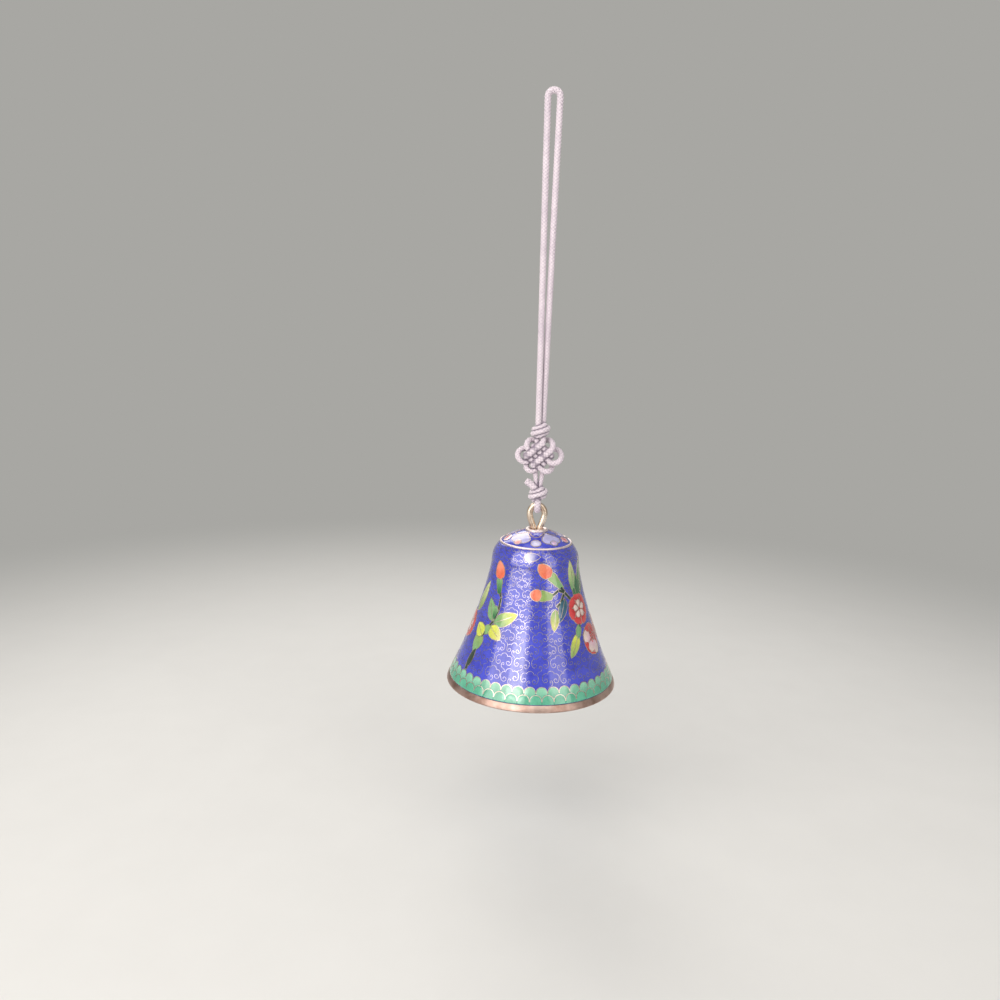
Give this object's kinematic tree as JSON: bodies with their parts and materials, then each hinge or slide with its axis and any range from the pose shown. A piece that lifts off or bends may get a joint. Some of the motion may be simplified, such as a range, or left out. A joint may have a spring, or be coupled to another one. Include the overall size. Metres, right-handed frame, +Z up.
{
  "type": "hanging bell",
  "caption": "Small flared cloisonne bell with a clapper, hung from a wire eye on a knotted cord loop, for hanging as an ornament.",
  "frame": {"origin": "inside top of the cord loop, where it bears on its support", "axes": "+Z up along the hang line, -Y towards the face with the flower sprays, +X to that face's right"},
  "size_m": [0.05, 0.05, 0.1651],
  "materials": {
    "blue_enamel": "gloss",
    "pale_enamel": "gloss",
    "green_enamel": "gloss",
    "lining_enamel": "satin",
    "gilt": "polished",
    "copper": "satin",
    "cord": "braided"
  },
  "bodies": {
    "top_bight": {"cord_bight": "cord"},
    "cord_loop": {"cord_strand_left": "cord", "cord_strand_right": "cord", "upper_knot": "cord", "pan_chang_strand_a": "cord", "pan_chang_strand_b": "cord", "lower_knot": "cord", "cord_tail": "cord"},
    "eye_loop": {"eye_bight": "cord"},
    "bell": {"copper_shell": "copper", "inner_enamel": "lining_enamel", "rim_band": "gilt", "lappet_enamel": "green_enamel", "lappet_wire": "gilt", "skirt_enamel": "blue_enamel", "shoulder_wire": "gilt", "crown_enamel": "pale_enamel", "crown_collar": "gilt", "inner_washer": "gilt", "hanging_eye": "gilt"},
    "link": {"clapper_link": "gilt"},
    "clapper": {"clapper_wire": "gilt", "clapper_ball": "gilt"}
  },
  "joints": [
    {"name": "loop_swing", "type": "hinge", "parent": "top_bight", "child": "cord_loop", "pos_m": [0, 0, -0.0008], "axis": [0, 1, 0], "range_deg": [-25, 25]},
    {"name": "bell_turn", "type": "hinge", "parent": "cord_loop", "child": "eye_loop", "pos_m": [0, 0, -0.1094], "axis": [0, 0, 1], "range_deg": [-90, 90]},
    {"name": "bell_swing", "type": "hinge", "parent": "eye_loop", "child": "bell", "pos_m": [0, 0, -0.11075], "axis": [1, 0, 0], "range_deg": [-25, 25]},
    {"name": "link_swing", "type": "hinge", "parent": "bell", "child": "link", "pos_m": [0, 0, -0.12532], "axis": [1, 0, 0], "range_deg": [-5, 5]},
    {"name": "clapper_swing", "type": "hinge", "parent": "link", "child": "clapper", "pos_m": [0, 0, -0.12895], "axis": [0, 1, 0], "range_deg": [-28, 28]}
  ]
}
